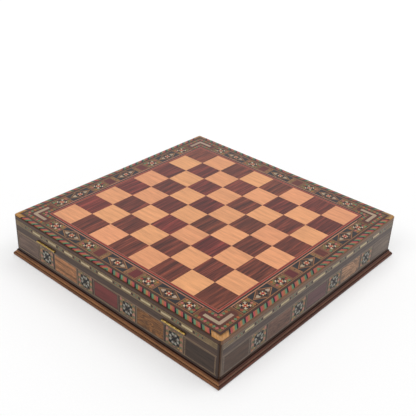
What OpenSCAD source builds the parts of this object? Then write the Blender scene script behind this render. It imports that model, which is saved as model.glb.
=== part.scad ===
// Chess box with two drawers: a low square box whose fixed top is the chess
// board, with a full-width drawer on each player's side.
// Millimetres. +Z is up. The origin is the middle of the footprint, on the
// surface that the box stands on. The front drawer opens towards -Y and the
// back drawer towards +Y. The walls with no drawer face -X and +X.

/* [Board] */
// Side of one chess square
square_size = 40; // [36:1:42]
// Width of the border, from the squares to the edge of the box
border_w = 40.5; // [40:0.5:44]
// Thickness of the playing board, with its veneer
board_t = 7; // [6:0.5:9]
// Thickness of the veneers and inlays
veneer_t = 0.8; // [0.6:0.1:1]
// Thickness of the rope banding round the edge, let into a rebate
rope_t = 1.6; // [1.6:0.1:2.4]

/* [Box] */
// Height from the table to the playing surface
box_h = 72; // [70:1:80]
// Thickness of the side walls and the drawer fronts, with veneer
wall_t = 12; // [11:0.5:14]
// Radius of the upright corners
corner_r = 4.5; // [3:0.5:6]
// Thickness of the felt feet
foot_t = 1; // [1:0.5:2]
// How far the base moulding stands out from the walls
moulding_out = 4.5; // [4:0.5:6]

/* [Drawers] */
// How far a drawer slides out
travel = 160; // [120:5:160]
// Joint gap round a drawer front
front_gap = 0.8; // [0.6:0.1:1]
// Thickness of the drawer sides
drawer_side_t = 8; // [7:0.5:9]
// Cells side by side in each row
cells = 8; // [6:1:8]
// Length of the cells for the tall pieces
long_cell = 104; // [90:1:106]
// Height of the dividers above the felt
divider_h = 32.5; // [25:0.5:36]

/* [Pulls] */
// Length of a brass pull
pull_len = 40; // [36:1:44]
// Diameter of its barrel
pull_d = 3.2; // [3:0.1:4.4]
// Distance of each pull from the middle of the drawer
pull_x = 125.5; // [110:0.5:136]

/* [Hidden] */
$fn = 48;

sq = square_size;
v = veneer_t;
F = 4 * sq;                 // half the field of squares
B = F + border_w;           // half the box, at the face of the walls
top_z = box_h;
under_z = box_h - board_t;  // underside of the playing board
rail_top = foot_t + 10.6;   // top of the base rails, where the walls stand
face_z0 = rail_top + 0.6;   // lower edge of a drawer front
face_z1 = under_z - front_gap;
I = B - wall_t;             // half the inside, wall to wall

// Rings of the border, as distances beyond the squares
ring_light1 = 1;
ring_red = 3.1;
ring_light2 = 4.3;
ring_panel0 = 9;
ring_panel1 = 27.5;
ring_rope = 33.1;
rope_in = 1.1;              // the banding lies this far inside the board's edge
rope_end = 14.5;            // and stops this far short of each corner
edge_r = 3;                 // radius of the board's upper edge
panel_mid = F + (ring_panel0 + ring_panel1) / 2;
panel_w = ring_panel1 - ring_panel0;

// Places along one side, in squares from its middle
black_s = [-2.375, 0, 2.375];
red_s = [-0.86, 0.86];
star_s = [-3.245, -1.46, 1.46, 3.245];
black_l = 1.03 * sq;
red_l = 0.35 * sq;
star_l = 17;

// The decoration of a wall: heights above the table
dash_z = top_z - 12;
panel_z = foot_t + 30;
dash_s = [-3.68, -2.795, -1.9, -1.01, 1.01, 1.9, 2.795, 3.68];
face_star_s = [-3.16, -1.055, 1.055, 3.16];
pull_z = top_z - 22.5;

// Inside of a drawer
D_out = I - 0.8;                       // outer face of the drawer sides
D_in = D_out - drawer_side_t;          // inner face
side_z0 = rail_top + 2.7;
side_z1 = under_z - 5;
bottom_z = side_z0 + 1.2;
felt_z = bottom_z + 3;
cell_z = felt_z + 1;
back_y = 10;                           // inner face of the drawer's back, from the middle
cell_w = (2 * D_in - 4 * (cells - 1)) / cells;
row_y = back_y + long_cell;            // the row divider stands beyond this
screw_spots = [for (x = [-1, 1], y = [-150, 0, 150]) [x * (B - 6.5), y]];

// Colours, as the parts show them
walnut = [0.36, 0.25, 0.20];
rose = [0.42, 0.17, 0.13];
peach = [0.90, 0.64, 0.45];
bone = [0.90, 0.87, 0.76];
brass = [0.80, 0.66, 0.32];

module turn(k) { rotate([0, 0, 90 * k]) children(); }

// Square with rounded corners, its middle at the origin
module rounded_square(half, r) {
    square([2 * half - 2 * r, 2 * half], center = true);
    square([2 * half, 2 * half - 2 * r], center = true);
    for (x = [-1, 1], y = [-1, 1]) translate([x * (half - r), y * (half - r)]) circle(r = r);
}

module within_corners() {
    intersection() {
        children();
        linear_extrude(height = box_h + 1) rounded_square(B, corner_r);
    }
}

module ring(inner, outer, z0, h) {
    translate([0, 0, z0]) linear_extrude(height = h) difference() {
        square(2 * outer, center = true);
        square(2 * inner, center = true);
    }
}

// Slab along the front side, with 45 degree ends. From outer to inner, both
// distances from the middle. gap shortens it at each end.
module mitred(outer, inner, z0, z1, gap = 0) {
    translate([0, 0, z0]) linear_extrude(height = z1 - z0)
        polygon([[-(outer - gap), -outer], [outer - gap, -outer],
                 [inner - gap, -inner], [-(inner - gap), -inner]]);
}

// Rectangle of the top veneer: middle s along the side, middle r out from the centre
module top_tile(s, r, l, w, extra = 0) {
    translate([s - l / 2, -r - w / 2, top_z - v - extra]) cube([l, w, v + 2 * extra]);
}

// Rectangle of a wall's veneer on the front side: middle s, middle z
module face_tile(s, z, l, h, extra = 0) {
    translate([s - l / 2, -B - extra, z - h / 2]) cube([l, v + 2 * extra, h]);
}

// ---- Playing board

// The board's section from side to side, its upper edges rounded
module edge_section() {
    rotate([90, 0, 90]) translate([0, 0, -(B + 1)]) linear_extrude(height = 2 * B + 2) {
        translate([-B, under_z]) square([2 * B, board_t - edge_r]);
        translate([-(B - edge_r), under_z]) square([2 * (B - edge_r), board_t]);
        for (x = [-1, 1]) translate([x * (B - edge_r), top_z - edge_r]) circle(r = edge_r);
    }
}

module board_outline() {
    within_corners() intersection() {
        edge_section();
        turn(1) edge_section();
    }
}

// Rebates for the rope banding and for the chips at its corners
module rope_region() {
    for (k = [0:3]) turn(k) mitred(B - rope_in, F + ring_rope, top_z - rope_t, top_z + 1, rope_end);
}

module chip_region() {
    r = F + ring_rope;
    o = B + 1;
    g = rope_end;
    for (k = [0:3]) turn(k) translate([0, 0, top_z - rope_t]) linear_extrude(height = rope_t + 1)
        polygon([[o - g, -o], [o, -o], [o, -(o - g)], [r, -(r - g)], [r, -r], [r - g, -r]]);
}

module board_core() {
    color([0.62, 0.48, 0.34]) translate([-(B - 10), -(B - 10), under_z])
        cube([2 * (B - 10), 2 * (B - 10), board_t - v]);
}

// Section of the lipping, with its rebate for the rope banding
module lipping_section() {
    r = F + ring_rope;
    difference() {
        union() {
            translate([-B, under_z]) square([10, board_t - edge_r]);
            translate([-(B - edge_r), under_z]) square([10 - edge_r, board_t]);
            translate([-(B - edge_r), top_z - edge_r]) circle(r = edge_r);
        }
        translate([-(B - rope_in), top_z - rope_t]) square([B - rope_in - r, rope_t + 1]);
        translate([-r, top_z - v]) square([20, v + 1]);
    }
}

module edge_lipping() {
    color(walnut) within_corners() for (k = [0:3]) turn(k) difference() {
        intersection() {
            rotate([90, 0, 90]) translate([0, 0, -(B + 1)]) linear_extrude(height = 2 * B + 2)
                lipping_section();
            mitred(B + 1, B - 10, under_z - 1, top_z + 1, 0.05);
        }
        chip_region();
    }
}

module squares(odd) {
    for (i = [0:7], j = [0:7]) if ((i + j) % 2 == odd)
        translate([(i - 4) * sq + 0.05, (j - 4) * sq + 0.05, top_z - v])
            cube([sq - 0.1, sq - 0.1, v]);
}

module light_squares() { color(peach) squares(0); }
module dark_squares() { color(rose) squares(1); }

module red_stringing() {
    color([0.72, 0.16, 0.12]) ring(F + ring_light1, F + ring_red, top_z - v, v);
}

module light_stringing() {
    color(bone) {
        ring(F, F + ring_light1, top_z - v, v);
        ring(F + ring_red, F + ring_light2, top_z - v, v);
    }
}

// Half of the diamond's outline is cut off by the edges of its panel
module diamond_outline() {
    hl = black_l / 2 - 0.6;
    hh = panel_w / 2;
    x1 = hl * 0.14;
    polygon([[-hl, 0], [-x1, hh], [x1, hh], [hl, 0], [x1, -hh], [-x1, -hh]]);
}

// Angle with a small chamfer on its outer corner
module corner_l(extra = 0) {
    i = panel_mid - 2.5;
    o = panel_mid + 2.5;
    a = F - 6.3;
    c = o - 1.8;
    translate([0, 0, top_z - v - extra]) linear_extrude(height = v + 2 * extra)
        polygon([[a, -o], [c, -o], [o, -c], [o, -a], [i, -a], [i, -i], [a, -i]]);
}

module border_ground() {
    color([0.45, 0.30, 0.17]) difference() {
        ring(F + ring_light2, F + ring_rope, top_z - v, v);
        for (k = [0:3]) turn(k) {
            for (s = black_s) top_tile(s * sq, panel_mid, black_l, panel_w, 0.5);
            for (s = red_s) top_tile(s * sq, panel_mid, red_l, 16, 0.5);
            for (s = star_s) top_tile(s * sq, panel_mid, star_l, star_l, 0.5);
            corner_l(0.5);
        }
    }
}

module border_black_panels() {
    color([0.12, 0.12, 0.14]) for (k = [0:3], s = black_s) turn(k)
        translate([s * sq, -panel_mid, top_z - v]) linear_extrude(height = v) difference() {
            square([black_l, panel_w], center = true);
            diamond_outline();
        }
}

module border_diamonds() {
    color([0.50, 0.36, 0.24]) for (k = [0:3], s = black_s) turn(k)
        translate([s * sq, -panel_mid, top_z - v]) linear_extrude(height = v) diamond_outline();
}

module border_red_panels() {
    color([0.45, 0.12, 0.12]) for (k = [0:3], s = red_s) turn(k)
        top_tile(s * sq, panel_mid, red_l, 16);
}

module border_rosettes() {
    color([0.78, 0.50, 0.24]) for (k = [0:3], s = star_s) turn(k)
        top_tile(s * sq, panel_mid, star_l, star_l);
}

module corner_inlays() { color(bone) for (k = [0:3]) turn(k) corner_l(); }

// Strips of rope banding, rounded with the board's edge. Their ends are cut at 45 degrees.
module rope_banding() {
    color([0.55, 0.66, 0.50]) intersection() {
        board_outline();
        rope_region();
    }
}

module corner_chips() {
    color([0.85, 0.58, 0.27]) intersection() {
        board_outline();
        chip_region();
    }
}

// ---- Walls

// The shapes let into a wall's veneer
module dash_tiles(extra = 0) {
    for (s = dash_s) face_tile(s * sq, dash_z, 0.445 * sq, 4, extra);
    face_tile(0, dash_z, 0.71 * sq, 4, extra);
}
module red_tile(extra = 0) { face_tile(0, panel_z, 1.12 * sq, 23, extra); }
module burl_tiles(extra = 0) {
    for (x = [-1, 1]) face_tile(x * 2.104 * sq, panel_z, 1.17 * sq, 26, extra);
}
module star_tiles(extra = 0) { for (s = face_star_s) face_tile(s * sq, panel_z, 22, 24, extra); }

module wall_veneer(z0, z1, gap) {
    difference() {
        within_corners() mitred(B, B - v, z0, z1, gap);
        dash_tiles(0.5);
        red_tile(0.5);
        burl_tiles(0.5);
        star_tiles(0.5);
    }
}

module screw_holes() {
    for (p = screw_spots) translate([p[0], p[1], rail_top - 1]) cylinder(r = 1.6, h = 14);
}

module left_wall() {
    color(walnut) difference() {
        within_corners() turn(3) mitred(B - v, I, rail_top, under_z);
        screw_holes();
    }
}
module right_wall() {
    color(walnut) difference() {
        within_corners() turn(1) mitred(B - v, I, rail_top, under_z);
        screw_holes();
    }
}
module side_veneers() { color(walnut) for (k = [1, 3]) turn(k) wall_veneer(rail_top, under_z, 0); }
module side_dashes() { color(bone) for (k = [1, 3]) turn(k) dash_tiles(); }
module side_red_panels() { color([0.45, 0.12, 0.12]) for (k = [1, 3]) turn(k) red_tile(); }
module side_burl_panels() { color([0.70, 0.45, 0.26]) for (k = [1, 3]) turn(k) burl_tiles(); }
module side_rosettes() { color([0.50, 0.50, 0.46]) for (k = [1, 3]) turn(k) star_tiles(); }

module partition() {
    color([0.62, 0.48, 0.34]) difference() {
        translate([-I, -3, rail_top]) cube([2 * I, 6, under_z - rail_top]);
        for (x = [-100, 100]) translate([x, 0, rail_top - 1]) cylinder(r = 1.3, h = 13);
    }
}

// ---- Base

// Section of a base rail: x is the distance from the middle of the box
function rail_section() = let (z = foot_t, m = moulding_out) concat(
    [[B - 15, z], [B + m - 0.5, z], [B + m, z + 0.5]],
    [for (a = [0:15:60]) [B + m - 2 + 2 * cos(a), z + 2.6 + 2 * sin(a)]],
    [[B + m - 1.6, z + 5.1]],
    [for (a = [270:-11.25:180]) [B + m - 1.6 + (m - 2.1) * cos(a), z + 9 + 3.4 * sin(a)]],
    [[B + 0.5, z + 9.4], [B - 1, z + 9.4], [B - 1, rail_top],
     [B - 9, rail_top], [B - 9, rail_top - 4], [B - 15, rail_top - 4]]);

module base_rail() {
    difference() {
        intersection() {
            rotate([90, 0, 90]) translate([0, 0, -(B + moulding_out)])
                linear_extrude(height = 2 * (B + moulding_out))
                    polygon([for (p = rail_section()) [-p[0], p[1]]]);
            mitred(B + moulding_out + 1, B - 16, 0, rail_top + 1);
        }
        for (x = [-150, 0, 150]) translate([x, -(B - 6.5), 0]) {
            cylinder(r = 1.7, h = rail_top + 1);
            translate([0, 0, foot_t - 1]) cylinder(r1 = 4.5, r2 = 1.7, h = 2.8);
        }
    }
}

// The front and back rails are glued to the base panel and have no screws
module plain_rail() {
    intersection() {
        rotate([90, 0, 90]) translate([0, 0, -(B + moulding_out)])
            linear_extrude(height = 2 * (B + moulding_out))
                polygon([for (p = rail_section()) [-p[0], p[1]]]);
        mitred(B + moulding_out + 1, B - 16, 0, rail_top + 1);
    }
}

module front_base_rail() { color(rose) plain_rail(); }
module right_base_rail() { color(rose) turn(1) base_rail(); }
module back_base_rail() { color(rose) turn(2) plain_rail(); }
module left_base_rail() { color(rose) turn(3) base_rail(); }

module base_panel() {
    color([0.70, 0.56, 0.40]) difference() {
        translate([-(B - 9), -(B - 9), rail_top - 4]) cube([2 * (B - 9), 2 * (B - 9), 4]);
        for (x = [-100, 100]) translate([x, 0, rail_top - 5]) {
            cylinder(r = 1.7, h = 6);
            cylinder(r1 = 4.2, r2 = 1.7, h = 2.5);
        }
    }
}

// Countersunk screw, head down, its head's face at z = 0
module screw(len, r) {
    cylinder(r1 = 3, r2 = r, h = 1.6);
    cylinder(r = r, h = len);
}

module base_screws() {
    color("silver") difference() {
        union() {
            for (p = screw_spots) translate([p[0], p[1], foot_t + 0.2]) screw(21, 1.5);
            for (x = [-100, 100]) translate([x, 0, rail_top - 3.9]) screw(14, 1.2);
        }
        for (p = screw_spots) translate([p[0] - 2, p[1] - 0.35, foot_t]) cube([4, 0.7, 0.9]);
        for (x = [-100, 100]) translate([x - 1.8, -0.35, rail_top - 4]) cube([3.6, 0.7, 0.7]);
    }
}

module felt_feet() {
    color([0.12, 0.25, 0.16]) for (x = [-1, 1], y = [-1, 1])
        translate([x * (B - 19), y * (B - 6), 0]) cylinder(r = 7, h = foot_t);
}

// ---- What guides the drawers, fixed in the box

module drawer_runners() {
    color(peach) for (x = [-1, 1], k = [0, 2]) turn(k)
        translate([x > 0 ? I - 10 : -I, -(I - 1), rail_top]) cube([10, I - 5, 2.4]);
}

module drawer_kickers() {
    color(peach) for (x = [-1, 1], k = [0, 2]) turn(k)
        translate([x > 0 ? D_in + 0.6 : -I, -(I - 1), side_z1 + 0.4])
            cube([I - D_in - 0.6, I - 5, under_z - side_z1 - 0.4]);
}

module drawer_stops() {
    color(peach) for (x = [-1, 1], k = [0, 2]) turn(k)
        translate([x * 110 - 12, -(back_y + travel + 8.6), side_z1 + 0.8])
            cube([24, 8, under_z - side_z1 - 0.8]);
}

// ---- One drawer, drawn at the front

// Slots for the leaves of the pulls
module pull_slots() {
    for (x = [-1, 1]) translate([x * pull_x - pull_len / 2 - 0.2, -B - 1, pull_z - 1.1])
        cube([pull_len + 0.4, 11.2, 2.2]);
}

// Openings in the veneer, where the barrels are sunk
module pull_openings() {
    for (x = [-1, 1])
        translate([x * pull_x - pull_len / 2 - 0.2, -B - 1, pull_z - pull_d / 2 - 0.2])
            cube([pull_len + 0.4, 1 + v + 0.2, pull_d + 0.4]);
}

module d_front() {
    difference() {
        within_corners() mitred(B - v, I, face_z0, face_z1, front_gap);
        translate([-(D_in + 3), -(I + 3), bottom_z]) cube([2 * (D_in + 3), 4, 3]);
        pull_slots();
    }
}

module d_veneer() {
    difference() {
        wall_veneer(face_z0, face_z1, front_gap);
        pull_openings();
    }
}

module d_sides() {
    for (m = [0, 1]) mirror([m, 0, 0]) difference() {
        translate([D_in, -I, side_z0]) cube([drawer_side_t, I - 4, side_z1 - side_z0]);
        translate([D_in - 1, -I - 1, bottom_z]) cube([4, I + 2, 3]);
    }
}

module d_back() {
    difference() {
        translate([-D_in, -back_y, side_z0]) cube([2 * D_in, 6, under_z - 2.5 - side_z0]);
        translate([-D_in - 1, -back_y - 1, bottom_z]) cube([2 * D_in + 2, 4, 3]);
    }
}

module d_bottom() {
    translate([-(D_in + 3), -(I + 3), bottom_z]) cube([2 * (D_in + 3), I + 3 - back_y + 3, 3]);
}

module d_felt() {
    translate([-D_in, -I, felt_z]) cube([2 * D_in, I - back_y, 1]);
}

module d_row_divider() {
    translate([-D_in, -row_y - 5, cell_z]) cube([2 * D_in, 5, divider_h]);
}

module d_cell_dividers() {
    for (i = [1:cells - 1]) translate([-D_in + i * cell_w + (i - 1) * 4, 0, cell_z]) {
        translate([0, -row_y, 0]) cube([4, long_cell, divider_h]);
        translate([0, -I, 0]) cube([4, I - row_y - 5, divider_h]);
    }
}

// A pull is a small butt hinge, closed and let into a slot: two leaves lie in
// the slot, and the barrel that their knuckles make stands out as the grip. The
// barrel is sunk in the veneer for a little under half of its depth
module pull_leaf(first, up) {
    r = pull_d / 2;
    kn = pull_len / 5;
    difference() {
        union() {
            for (i = [first:2:4]) translate([-pull_len / 2 + i * kn + 0.15, 0, 0]) {
                rotate([0, 90, 0]) cylinder(r = r, h = kn - 0.3);
                translate([0, 0, up > 0 ? 0.1 : -1]) cube([kn - 0.3, r + 2, 0.9]);
            }
            translate([-pull_len / 2, r + 0.3, up > 0 ? 0.1 : -1]) cube([pull_len, 9, 0.9]);
        }
        translate([-pull_len / 2 - 1, 0, 0]) rotate([0, 90, 0]) cylinder(r = 0.85, h = pull_len + 2);
    }
}

module d_pulls() {
    for (x = [-1, 1]) translate([x * pull_x, -B - pull_d / 2 + v - 0.1, pull_z]) {
        pull_leaf(0, 1);
        pull_leaf(1, -1);
    }
}

module d_pull_pins() {
    for (x = [-1, 1]) translate([x * pull_x - pull_len / 2 - 0.1, -B - pull_d / 2 + v - 0.1, pull_z])
        rotate([0, 90, 0]) cylinder(r = 0.8, h = pull_len + 0.2);
}

// ---- The two drawers

module front_drawer_front() { color(walnut) d_front(); }
module front_drawer_sides() { color(peach) d_sides(); }
module front_drawer_back() { color(peach) d_back(); }
module front_drawer_bottom() { color([0.70, 0.56, 0.40]) d_bottom(); }
module front_drawer_felt() { color([0.10, 0.28, 0.17]) d_felt(); }
module front_row_divider() { color(walnut) d_row_divider(); }
module front_cell_dividers() { color(walnut) d_cell_dividers(); }
module front_pulls() { color(brass) d_pulls(); }
module front_pull_pins() { color(brass) d_pull_pins(); }
module front_veneer() { color(walnut) d_veneer(); }
module front_dashes() { color(bone) dash_tiles(); }
module front_red_panel() { color([0.45, 0.12, 0.12]) red_tile(); }
module front_burl_panels() { color([0.70, 0.45, 0.26]) burl_tiles(); }
module front_rosettes() { color([0.50, 0.50, 0.46]) star_tiles(); }

module back_drawer_front() { color(walnut) turn(2) d_front(); }
module back_drawer_sides() { color(peach) turn(2) d_sides(); }
module back_drawer_back() { color(peach) turn(2) d_back(); }
module back_drawer_bottom() { color([0.70, 0.56, 0.40]) turn(2) d_bottom(); }
module back_drawer_felt() { color([0.10, 0.28, 0.17]) turn(2) d_felt(); }
module back_row_divider() { color(walnut) turn(2) d_row_divider(); }
module back_cell_dividers() { color(walnut) turn(2) d_cell_dividers(); }
module back_pulls() { color(brass) turn(2) d_pulls(); }
module back_pull_pins() { color(brass) turn(2) d_pull_pins(); }
module back_veneer() { color(walnut) turn(2) d_veneer(); }
module back_dashes() { color(bone) turn(2) dash_tiles(); }
module back_red_panel() { color([0.45, 0.12, 0.12]) turn(2) red_tile(); }
module back_burl_panels() { color([0.70, 0.45, 0.26]) turn(2) burl_tiles(); }
module back_rosettes() { color([0.50, 0.50, 0.46]) turn(2) star_tiles(); }

board_core();
edge_lipping();
light_squares();
dark_squares();
red_stringing();
light_stringing();
border_ground();
border_black_panels();
border_diamonds();
border_red_panels();
border_rosettes();
corner_inlays();
rope_banding();
corner_chips();
left_wall();
right_wall();
side_veneers();
side_dashes();
side_red_panels();
side_burl_panels();
side_rosettes();
partition();
base_panel();
front_base_rail();
back_base_rail();
left_base_rail();
right_base_rail();
drawer_runners();
drawer_kickers();
drawer_stops();
felt_feet();
base_screws();
front_drawer_front();
front_drawer_sides();
front_drawer_back();
front_drawer_bottom();
front_drawer_felt();
front_row_divider();
front_cell_dividers();
front_pulls();
front_pull_pins();
front_veneer();
front_dashes();
front_red_panel();
front_burl_panels();
front_rosettes();
back_drawer_front();
back_drawer_sides();
back_drawer_back();
back_drawer_bottom();
back_drawer_felt();
back_row_divider();
back_cell_dividers();
back_pulls();
back_pull_pins();
back_veneer();
back_dashes();
back_red_panel();
back_burl_panels();
back_rosettes();
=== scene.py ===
"""Chess box with two drawers: the finish of its veneers, inlays, mouldings and fittings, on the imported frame.

Lengths in this file are millimetres until they reach a mesh. A side of the box is drawn as its front side:
s runs along the side and r out from the middle. side_matrix(k) then turns it to the four sides."""

import math
import random

import bpy
from mathutils import Matrix, Vector
from mathutils.geometry import delaunay_2d_cdt


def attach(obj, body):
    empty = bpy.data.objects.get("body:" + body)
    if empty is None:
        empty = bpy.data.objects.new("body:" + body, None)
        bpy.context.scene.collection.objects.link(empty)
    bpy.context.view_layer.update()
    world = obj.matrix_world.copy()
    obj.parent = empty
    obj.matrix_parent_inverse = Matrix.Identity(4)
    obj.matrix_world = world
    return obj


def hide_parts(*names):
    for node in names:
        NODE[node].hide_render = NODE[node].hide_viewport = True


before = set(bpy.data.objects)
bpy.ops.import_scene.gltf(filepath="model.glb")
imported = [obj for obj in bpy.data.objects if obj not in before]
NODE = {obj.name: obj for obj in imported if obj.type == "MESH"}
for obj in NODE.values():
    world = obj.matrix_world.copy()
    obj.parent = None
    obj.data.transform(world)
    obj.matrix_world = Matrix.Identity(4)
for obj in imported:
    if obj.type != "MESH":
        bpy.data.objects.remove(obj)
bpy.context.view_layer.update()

MM = 0.001
SQ = 40.0  # side of a square
F = 160.0  # half the field of squares
B = 200.5  # half the box at the walls
TOP = 72.0
V = 0.8  # veneer
MID = 178.25  # middle of the border's panels
EDGE_R = 3.0  # radius of the board's upper edge
ROPE_T = 1.6  # depth of the rope banding
RNG = random.Random(41)

# ------------------------------------------------------------------ materials


def srgb(r, g, b):
    def lin(c):
        c /= 255
        return c / 12.92 if c <= 0.04045 else ((c + 0.055) / 1.055) ** 2.4

    return (lin(r), lin(g), lin(b), 1.0)


class Tree:
    """A material's nodes, with short calls to add them."""

    def __init__(self, name):
        self.mat = bpy.data.materials.new(name)
        self.mat.use_nodes = True
        self.nt = self.mat.node_tree
        self.bsdf = self.nt.nodes["Principled BSDF"]

    def put(self, socket, value):
        if isinstance(value, bpy.types.NodeSocket):
            self.nt.links.new(value, socket)
        else:
            socket.default_value = value

    def node(self, kind, ins=(), **props):
        n = self.nt.nodes.new("ShaderNode" + kind)
        for k, v in props.items():
            setattr(n, k, v)
        for k, v in dict(ins).items():
            self.put(n.inputs[k], v)
        return n

    def maths(self, op, a, b=None, c=None, clamp=False):
        n = self.node("Math", operation=op, use_clamp=clamp)
        for i, x in enumerate((a, b, c)):
            if x is not None:
                self.put(n.inputs[i], x)
        return n.outputs[0]

    def vmaths(self, op, a, b=None, scale=None):
        n = self.node("VectorMath", operation=op)
        self.put(n.inputs[0], a)
        if b is not None:
            self.put(n.inputs[1], b)
        if scale is not None:
            self.put(n.inputs["Scale"], scale)
        return n.outputs[0]

    def mix(self, f, a, b, blend="MIX"):
        n = self.node("Mix", data_type="RGBA", blend_type=blend)
        self.put(n.inputs[0], f)
        self.put(n.inputs[6], a)
        self.put(n.inputs[7], b)
        return n.outputs[2]

    def scaled(self, v, sx, sy, sz):
        return self.vmaths("MULTIPLY", v, (sx, sy, sz))

    def noise(self, v, detail=3.0, rough=0.55, distortion=0.0, scale=1.0):
        n = self.node(
            "TexNoise",
            {
                "Vector": v,
                "Scale": scale,
                "Detail": detail,
                "Roughness": rough,
                "Distortion": distortion,
            },
        )
        return n.outputs[0]

    def remap(self, x, a, b, c=0.0, d=1.0, smooth=False):
        n = self.node(
            "MapRange",
            {"Value": x, "From Min": a, "From Max": b, "To Min": c, "To Max": d},
            interpolation_type="SMOOTHSTEP" if smooth else "LINEAR",
        )
        return n.outputs[0]

    def ramp(self, x, stops):
        n = self.node("ValToRGB", {"Fac": x})
        cr = n.color_ramp
        while len(cr.elements) < len(stops):
            cr.elements.new(0.5)
        for e, (at, colour) in zip(cr.elements, stops):
            e.position, e.color = at, colour
        return n.outputs[0]

    def bump(self, height, strength, distance):
        n = self.node(
            "Bump", {"Height": height, "Strength": strength, "Distance": distance * MM}
        )
        self.nt.links.new(n.outputs[0], self.bsdf.inputs["Normal"])

    def set(self, **ins):
        names = {
            "base": "Base Color",
            "rough": "Roughness",
            "metal": "Metallic",
            "coat": "Coat Weight",
            "coat_rough": "Coat Roughness",
            "coat_ior": "Coat IOR",
            "glow": "Emission Color",
            "glow_by": "Emission Strength",
            "spec": "Specular IOR Level",
            "sheen": "Sheen Weight",
            "sheen_rough": "Sheen Roughness",
            "aniso": "Anisotropic",
        }
        for k, v in ins.items():
            self.put(self.bsdf.inputs[names[k]], v)
        return self.mat


def on_sides(t):
    """1 on the sides that face -X and +X, 0 on the front and the back."""
    o = t.node("SeparateXYZ", {0: t.vmaths("ABSOLUTE", t.node("TexCoord").outputs["Object"])}).outputs
    return t.maths("GREATER_THAN", o[0], o[1])


def grain_vector(t, axis, cell=None):
    """Coordinates in mm with the grain along x, and a random number that is the same all over one tile.
    axis is uv for marquetry, which carries its own map, x, y or z for a piece cut from solid wood, or ring for
    strips that run round the box."""
    if axis == "uv":
        v = t.node("UVMap", uv_map="grain").outputs[0]
        tint = t.node("SeparateXYZ", {0: t.node("UVMap", uv_map="tile").outputs[0]})
        return v, tint.outputs[0], tint.outputs[1]
    o = t.vmaths(
        "SCALE", t.node("TexCoord").outputs["Object"], scale=1000.0
    )
    sep = t.node("SeparateXYZ", {0: o}).outputs
    if axis == "ring":
        m = on_sides(t)
        d = t.maths("MULTIPLY", m, t.maths("SUBTRACT", sep[1], sep[0]))
        comb = t.node("CombineXYZ", {0: t.maths("ADD", sep[0], d), 1: t.maths("SUBTRACT", sep[1], d), 2: sep[2]})
        return comb.outputs[0], 0.5, 0.5
    order = {"x": (0, 1, 2), "y": (1, 0, 2), "z": (2, 0, 1)}[axis]
    comb = t.node("CombineXYZ")
    for i, k in enumerate(order):
        t.put(comb.inputs[i], sep[k])
    v = comb.outputs[0]
    if cell is None:
        return v, 0.5, 0.5
    shifted = t.vmaths("ADD", o, tuple(c * 50.0 + 0.013 for c in cell))
    snapped = t.vmaths("FLOOR", t.vmaths("DIVIDE", shifted, cell))
    wn = t.node("TexWhiteNoise", {"Vector": snapped}, noise_dimensions="3D")
    v = t.vmaths("ADD", v, t.vmaths("SCALE", wn.outputs["Color"], scale=700.0))
    rnd = t.node("SeparateXYZ", {0: wn.outputs["Color"]}).outputs
    return v, rnd[0], rnd[1]


def wood(
    name,
    tones,
    axis="uv",
    cell=None,
    along=60.0,
    across=5.0,
    fibre=0.55,
    low=0.3,
    high=0.7,
    figure=0.0,
    figure_across=9.0,
    pores=0.35,
    pore_size=0.32,
    spread=0.1,
    warm=0.01,
    coat=1.0,
    coat_rough=0.06,
    rough=0.4,
    bump=0.25,
    fine=0.42,
    side_tones=None,
):
    """Varnished wood: long soft bands, fibres and pores along the grain, each tile a little different."""
    t = Tree(name)
    v, r1, r2 = grain_vector(t, axis, cell)
    bend = t.noise(t.scaled(v, 1 / 90, 1 / 40, 1 / 40), 2.0)
    sway = t.maths("MULTIPLY", t.maths("SUBTRACT", bend, 0.5), across * 1.6)
    comb = t.node("CombineXYZ", {1: sway})
    w = t.vmaths("ADD", v, comb.outputs[0])
    broad = t.noise(
        t.scaled(w, 1 / along, 1 / across, 1 / across), 4.0, 0.6, distortion=0.25
    )
    thin = t.noise(t.scaled(w, 1 / (along * 0.35), 1 / fibre, 1 / fibre), 3.0, 0.6)
    x = t.maths(
        "ADD", t.maths("MULTIPLY", broad, 1 - fine), t.maths("MULTIPLY", thin, fine)
    )
    if figure:
        turned = t.noise(
            t.scaled(v, 1 / (figure_across * 4), 1 / figure_across, 1 / figure_across),
            3.0,
            0.5,
            distortion=1.2,
        )
        rings = t.maths("FRACT", t.maths("MULTIPLY", turned, 7.0))
        rings = t.remap(t.maths("ABSOLUTE", t.maths("SUBTRACT", rings, 0.5)), 0, 0.5)
        x = t.maths(
            "ADD",
            t.maths("MULTIPLY", x, 1 - figure),
            t.maths("MULTIPLY", rings, figure),
        )
    x = t.remap(x, low, high)
    n = len(tones)
    colour = t.ramp(x, [(i / (n - 1), c) for i, c in enumerate(tones)])
    if side_tones:
        colour = t.mix(on_sides(t), colour, t.ramp(x, [(i / (n - 1), c) for i, c in enumerate(side_tones)]))
    pore = t.noise(
        t.scaled(w, 1 / 7.0, 1 / pore_size, 1 / pore_size), 1.0, 0.5
    )
    pore = t.remap(pore, 0.60, 0.72, smooth=True)
    dark = tuple(c * 0.42 for c in tones[0][:3]) + (1.0,)
    colour = t.mix(t.maths("MULTIPLY", pore, pores), colour, dark)
    hsv = t.node(
        "HueSaturation",
        {
            "Hue": t.maths("MULTIPLY_ADD", r2, warm * 2, 0.5 - warm),
            "Saturation": 1.0,
            "Value": t.maths("MULTIPLY_ADD", r1, spread * 2, 1 - spread),
            "Color": colour,
        },
    )
    height = t.maths("SUBTRACT", t.maths("MULTIPLY", thin, 0.5), pore)
    t.bump(height, bump, 0.06)
    return t.set(
        base=hsv.outputs[0],
        rough=t.remap(thin, 0.25, 0.75, rough + 0.08, rough - 0.06),
        coat=coat,
        coat_rough=coat_rough,
        coat_ior=1.4,
        spec=0.08,
    )


C = srgb


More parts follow.
